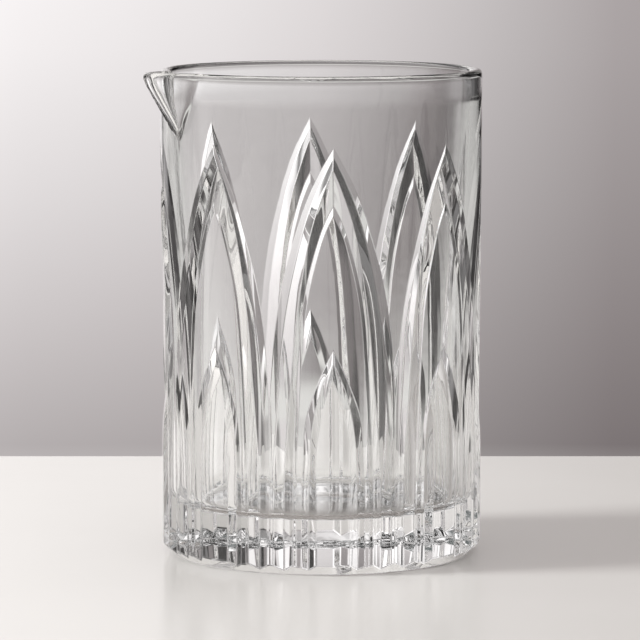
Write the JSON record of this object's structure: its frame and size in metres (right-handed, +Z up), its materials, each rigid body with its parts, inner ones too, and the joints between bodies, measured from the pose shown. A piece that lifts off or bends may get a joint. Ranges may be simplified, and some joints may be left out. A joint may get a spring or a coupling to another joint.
{
  "type": "mixing glass",
  "caption": "Clear glass bar mixing vessel: heavy base, straight wall cut with pointed arches, plain rim and one pouring lip.",
  "frame": {"origin": "centre of the foot, on the surface the vessel stands on", "axes": "+Z up along the vessel's axis towards the mouth, -X towards the pouring lip"},
  "size_m": [0.1062, 0.0966, 0.146],
  "materials": {
    "glass": "clear, polished"
  },
  "bodies": {
    "root": {"glass_vessel": "glass"}
  },
  "joints": []
}
